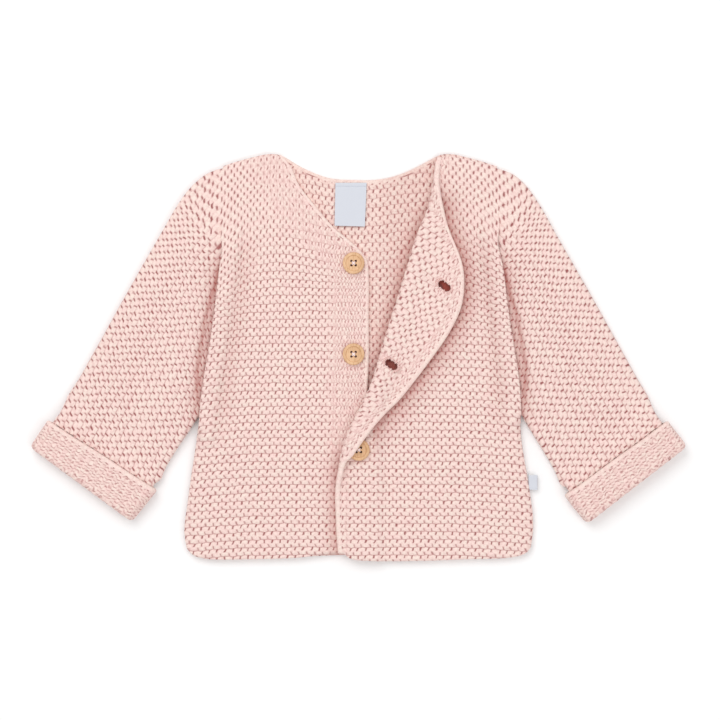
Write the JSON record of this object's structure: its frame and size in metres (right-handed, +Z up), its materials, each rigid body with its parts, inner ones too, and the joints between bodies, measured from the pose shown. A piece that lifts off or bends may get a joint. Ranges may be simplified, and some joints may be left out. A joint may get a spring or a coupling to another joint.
{
  "type": "baby cardigan",
  "caption": "Garter-stitch baby cardigan lying flat, one front buttoned side flat and the other turned open, with turned-up cuffs.",
  "frame": {"origin": "middle of the garment's outline, on the surface that it lies on", "axes": "+X to the right in the picture, from one cuff to the other; +Y towards the neck; +Z up from the surface"},
  "size_m": [0.4496, 0.2811, 0.0166],
  "materials": {
    "knit_body": "matte chunky cotton garter stitch, pale pink",
    "knit_inside": "the same knit, seen from its other face",
    "knit_sleeve": "the same knit, rows along the sleeve",
    "button_wood": "pale turned wood, satin",
    "label_satin": "pale grey woven satin ribbon, bare"
  },
  "bodies": {
    "root": {"back": "knit_inside", "front_right": "knit_body", "front_left": "knit_body", "sleeve_right": "knit_sleeve", "sleeve_left": "knit_sleeve", "button_top": "button_wood", "button_middle": "button_wood", "button_bottom": "button_wood", "neck_label": "label_satin", "side_label": "label_satin"}
  },
  "joints": []
}
